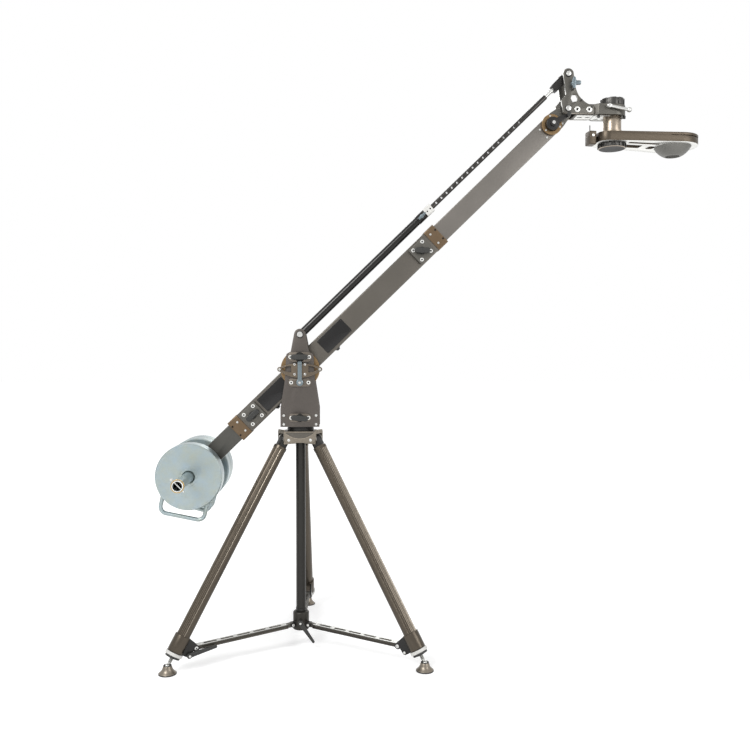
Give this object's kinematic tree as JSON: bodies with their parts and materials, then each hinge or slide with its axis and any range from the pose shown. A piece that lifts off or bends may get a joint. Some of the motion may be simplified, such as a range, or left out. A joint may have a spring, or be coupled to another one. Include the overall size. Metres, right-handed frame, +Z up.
{
  "type": "camera jib crane",
  "caption": "Telescopic camera boom on a folding tripod with a levelling rod, a swinging bracket with a camera bowl at the raised end and disc weights on a bar at the low end.",
  "frame": {"origin": "middle of the crane's box at floor level, as it stands in the picture", "axes": "+Z up from the floor; +X level, towards the raised end of the boom; +Y level, away from the side that carries the knobs and brake"},
  "size_m": [2.13, 0.9146, 2.2651],
  "materials": {
    "bronze_grey": "satin bronze-grey anodised",
    "dark_grey": "satin dark grey anodised",
    "tower_grey": "satin grey anodised",
    "collar_bronze": "satin bronze anodised",
    "disc_bronze": "machined, bronze anodised",
    "champagne": "polished pale champagne",
    "bracket_bronze": "satin light bronze anodised",
    "black_alloy": "black anodised",
    "black_steel": "black, satin",
    "zinc_steel": "mottled zinc plating",
    "foot_steel": "turned steel with plastic rings",
    "blue_steel": "blue-grey steel",
    "black_plastic": "moulded black",
    "white_plastic": "white bearing plastic"
  },
  "bodies": {
    "tripod": {"crown": "bronze_grey", "centre_column": "dark_grey"},
    "spreader": {"spreader_hub": "dark_grey"},
    "hub_clamp": {"hub_lever": "black_plastic"},
    "tower": {"tower_base": "black_alloy", "tower_plate_near": "tower_grey", "tower_plate_far": "tower_grey", "brake_bridge": "tower_grey"},
    "pan_lock": {"pan_knob": "black_plastic"},
    "tilt_lock": {"tilt_knob": "black_plastic"},
    "tilt_brake": {"brake_lever": "blue_steel"},
    "boom": {"trunnion": "disc_bronze", "centre_tube": "bronze_grey", "front_collar": "collar_bronze", "rear_collar": "collar_bronze", "front_clamp_plate": "dark_grey", "rear_clamp_plate": "dark_grey"},
    "front_clamp": {"front_clamp_knob": "black_plastic"},
    "rear_clamp": {"rear_clamp_knob": "black_plastic"},
    "front_arm": {"front_tube": "dark_grey", "boom_end": "dark_grey", "head_lock_disc": "disc_bronze"},
    "head_clamp": {"head_lock_lever": "black_steel"},
    "rear_arm": {"rear_tube": "dark_grey", "weight_bar": "zinc_steel"},
    "weight_1": {"weight_disc_1": "zinc_steel"},
    "weight_2": {"weight_disc_2": "zinc_steel"},
    "weight_3": {"weight_disc_3": "zinc_steel"},
    "hitch_near": {"hitch_pin_near": "zinc_steel"},
    "hitch_far": {"hitch_pin_far": "zinc_steel"},
    "rod_tube": {"rod_outer": "black_alloy", "rod_bush": "white_plastic"},
    "rod_stop": {"rod_pin": "blue_steel"},
    "rod_slider": {"rod_inner": "dark_grey", "rod_fork": "black_alloy"},
    "head": {"head_plate_near": "dark_grey", "head_plate_far": "dark_grey", "head_block": "dark_grey"},
    "head_stop": {"head_pin": "blue_steel"},
    "riser_clamp": {"riser_lever": "zinc_steel"},
    "bracket": {"castle_nut_top": "bronze_grey", "riser": "champagne", "castle_nut_bottom": "bronze_grey", "offset_arm": "bracket_bronze", "bowl": "bronze_grey"},
    "leg_1_set": {"leg_1": "bronze_grey"},
    "foot_1": {"foot_screw_1": "foot_steel"},
    "pad_1": {"foot_pad_1": "bronze_grey"},
    "leg_1_clamp": {"leg_lever_1": "black_plastic"},
    "arm_1": {"spreader_arm_1": "dark_grey"},
    "leg_2_set": {"leg_2": "bronze_grey"},
    "foot_2": {"foot_screw_2": "foot_steel"},
    "pad_2": {"foot_pad_2": "bronze_grey"},
    "leg_2_clamp": {"leg_lever_2": "black_plastic"},
    "arm_2": {"spreader_arm_2": "dark_grey"},
    "leg_3_set": {"leg_3": "bronze_grey"},
    "foot_3": {"foot_screw_3": "foot_steel"},
    "pad_3": {"foot_pad_3": "bronze_grey"},
    "leg_3_clamp": {"leg_lever_3": "black_plastic"},
    "arm_3": {"spreader_arm_3": "dark_grey"}
  },
  "joints": [
    {"name": "leg_1_fold", "type": "hinge", "parent": "tripod", "child": "leg_1_set", "pos_m": [-0.5237, -0.04335, 0.825], "axis": [-0.9999, 0.0157, 0], "range_deg": [0, 12]},
    {"name": "foot_1_screw", "type": "slide", "parent": "leg_1_set", "child": "foot_1", "axis": [0.008, 0.5064, -0.8622], "range_m": [0, 0.035]},
    {"name": "pad_1_swivel", "type": "hinge", "parent": "foot_1", "child": "pad_1", "pos_m": [-0.51635, 0.42475, 0.028], "axis": [-0.9999, 0.0157, 0], "range_deg": [-10, 10]},
    {"name": "leg_1_clamp_turn", "type": "hinge", "parent": "leg_1_set", "child": "leg_1_clamp", "pos_m": [-0.51748, 0.35252, 0.06017], "axis": [-0.9999, 0.0157, 0], "range_deg": [-30, 20]},
    {"name": "leg_2_fold", "type": "hinge", "parent": "tripod", "child": "leg_2_set", "pos_m": [-0.58508, -0.14589, 0.825], "axis": [0.4863, -0.8738, 0], "range_deg": [0, 12]},
    {"name": "foot_2_screw", "type": "slide", "parent": "leg_2_set", "child": "foot_2", "axis": [-0.4426, -0.2463, -0.8622], "range_m": [0, 0.035]},
    {"name": "pad_2_swivel", "type": "hinge", "parent": "foot_2", "child": "pad_2", "pos_m": [-0.99414, -0.37358, 0.028], "axis": [0.4863, -0.8738, 0], "range_deg": [-10, 10]},
    {"name": "leg_2_clamp_turn", "type": "hinge", "parent": "leg_2_set", "child": "leg_2_clamp", "pos_m": [-0.93102, -0.33844, 0.06017], "axis": [0.4863, -0.8738, 0], "range_deg": [-30, 20]},
    {"name": "leg_3_fold", "type": "hinge", "parent": "tripod", "child": "leg_3_set", "pos_m": [-0.46558, -0.14777, 0.825], "axis": [0.5135, 0.8581, 0], "range_deg": [0, 12]},
    {"name": "foot_3_screw", "type": "slide", "parent": "leg_3_set", "child": "foot_3", "axis": [0.4346, -0.2601, -0.8622], "range_m": [0, 0.035]},
    {"name": "pad_3_swivel", "type": "hinge", "parent": "foot_3", "child": "pad_3", "pos_m": [-0.06387, -0.38819, 0.028], "axis": [0.5135, 0.8581, 0], "range_deg": [-10, 10]},
    {"name": "leg_3_clamp_turn", "type": "hinge", "parent": "leg_3_set", "child": "leg_3_clamp", "pos_m": [-0.12586, -0.35109, 0.06017], "axis": [0.5135, 0.8581, 0], "range_deg": [-30, 20]},
    {"name": "spreader_slide", "type": "slide", "parent": "tripod", "child": "spreader", "axis": [0, 0, 1], "range_m": [0, 0.25]},
    {"name": "arm_1_swing", "type": "hinge", "parent": "spreader", "child": "arm_1", "pos_m": [-0.52416, -0.07234, 0.0916], "axis": [-0.9999, 0.0157, 0], "range_deg": [0, 53]},
    {"name": "arm_2_swing", "type": "hinge", "parent": "spreader", "child": "arm_2", "pos_m": [-0.55974, -0.13179, 0.0916], "axis": [0.4863, -0.8738, 0], "range_deg": [0, 53]},
    {"name": "arm_3_swing", "type": "hinge", "parent": "spreader", "child": "arm_3", "pos_m": [-0.49046, -0.13288, 0.0916], "axis": [0.5135, 0.8581, 0], "range_deg": [0, 53]},
    {"name": "hub_clamp_turn", "type": "hinge", "parent": "spreader", "child": "hub_clamp", "pos_m": [-0.52479, -0.144, 0.107], "axis": [0, 1, 0], "range_deg": [0, 65]},
    {"name": "pan", "type": "hinge", "parent": "tripod", "child": "tower", "pos_m": [-0.52479, -0.11234, 0.86], "axis": [0, 0, 1], "continuous": true},
    {"name": "pan_lock_turn", "type": "hinge", "parent": "tower", "child": "pan_lock", "pos_m": [-0.52479, -0.2, 0.908], "axis": [0, 1, 0], "continuous": true},
    {"name": "tilt_lock_turn", "type": "hinge", "parent": "tower", "child": "tilt_lock", "pos_m": [-0.52479, -0.2, 1.142], "axis": [0, 1, 0], "continuous": true},
    {"name": "tilt_brake_turn", "type": "hinge", "parent": "tower", "child": "tilt_brake", "pos_m": [-0.52479, -0.18, 1.044], "axis": [0, 1, 0], "range_deg": [-25, 25]},
    {"name": "tilt", "type": "hinge", "parent": "tower", "child": "boom", "pos_m": [-0.52479, -0.11234, 1.095], "axis": [0, -1, 0], "range_deg": [-75, 4]},
    {"name": "front_clamp_turn", "type": "hinge", "parent": "boom", "child": "front_clamp", "pos_m": [-0.05091, -0.11234, 1.55583], "axis": [0, 1, 0], "continuous": true},
    {"name": "rear_clamp_turn", "type": "hinge", "parent": "boom", "child": "rear_clamp", "pos_m": [-0.7076, -0.11234, 0.91722], "axis": [0, 1, 0], "continuous": true},
    {"name": "front_extend", "type": "slide", "parent": "boom", "child": "front_arm", "axis": [0.7169, 0, 0.6972], "range_m": [-0.4, 0.1]},
    {"name": "rear_extend", "type": "slide", "parent": "boom", "child": "rear_arm", "axis": [0.7169, 0, 0.6972], "range_m": [-0.15, 0.02]},
    {"name": "head_clamp_turn", "type": "hinge", "parent": "front_arm", "child": "head_clamp", "pos_m": [0.45953, -0.11234, 2.05221], "axis": [0, 1, 0], "range_deg": [0, 50]},
    {"name": "weight_1_turn", "type": "hinge", "parent": "rear_arm", "child": "weight_1", "pos_m": [-0.93916, -0.21004, 0.69204], "axis": [0, 1, 0], "continuous": true},
    {"name": "weight_2_turn", "type": "hinge", "parent": "rear_arm", "child": "weight_2", "pos_m": [-0.93916, -0.01464, 0.69204], "axis": [0, 1, 0], "continuous": true},
    {"name": "weight_3_turn", "type": "hinge", "parent": "rear_arm", "child": "weight_3", "pos_m": [-0.93916, 0.05566, 0.69204], "axis": [0, 1, 0], "continuous": true},
    {"name": "hitch_near_pull", "type": "slide", "parent": "rear_arm", "child": "hitch_near", "axis": [-0.6972, 0, 0.7169], "range_m": [0, 0.05]},
    {"name": "hitch_far_pull", "type": "slide", "parent": "rear_arm", "child": "hitch_far", "axis": [-0.6972, 0, 0.7169], "range_m": [0, 0.05]},
    {"name": "rod_tilt", "type": "hinge", "parent": "tower", "child": "rod_tube", "pos_m": [-0.52479, -0.11234, 1.229], "axis": [0, -1, 0], "range_deg": [-76, 5]},
    {"name": "rod_stop_pull", "type": "slide", "parent": "rod_tube", "child": "rod_stop", "axis": [0, -1, 0], "range_m": [0, 0.008]},
    {"name": "rod_extend", "type": "slide", "parent": "rod_tube", "child": "rod_slider", "axis": [0.7169, 0, 0.6972], "range_m": [-0.4, 0.1]},
    {"name": "head_level", "type": "hinge", "parent": "front_arm", "child": "head", "pos_m": [0.51903, -0.11234, 2.11007], "axis": [0, -1, 0], "range_deg": [-5, 76]},
    {"name": "head_stop_pull", "type": "slide", "parent": "head", "child": "head_stop", "axis": [0, -1, 0], "range_m": [0, 0.03]},
    {"name": "riser_clamp_turn", "type": "hinge", "parent": "head", "child": "riser_clamp", "pos_m": [0.67803, -0.17, 2.11907], "axis": [0, 1, 0], "range_deg": [-40, 40]},
    {"name": "bracket_swing", "type": "hinge", "parent": "head", "child": "bracket", "pos_m": [0.70803, -0.11234, 2.11], "axis": [0, 0, 1], "range_deg": [-108, 92]}
  ],
  "couplings": [
    {"joint": "leg_2_fold", "follows": "leg_1_fold", "ratio": 1},
    {"joint": "leg_3_fold", "follows": "leg_1_fold", "ratio": 1},
    {"joint": "spreader_slide", "follows": "leg_1_fold", "m_per_rad": 1.1838},
    {"joint": "arm_1_swing", "follows": "leg_1_fold", "ratio": 4.3536},
    {"joint": "arm_2_swing", "follows": "leg_1_fold", "ratio": 4.3536},
    {"joint": "arm_3_swing", "follows": "leg_1_fold", "ratio": 4.3536},
    {"joint": "rod_tilt", "follows": "tilt", "ratio": 1},
    {"joint": "head_level", "follows": "tilt", "ratio": -1},
    {"joint": "rod_extend", "follows": "front_extend", "ratio": 1}
  ]
}
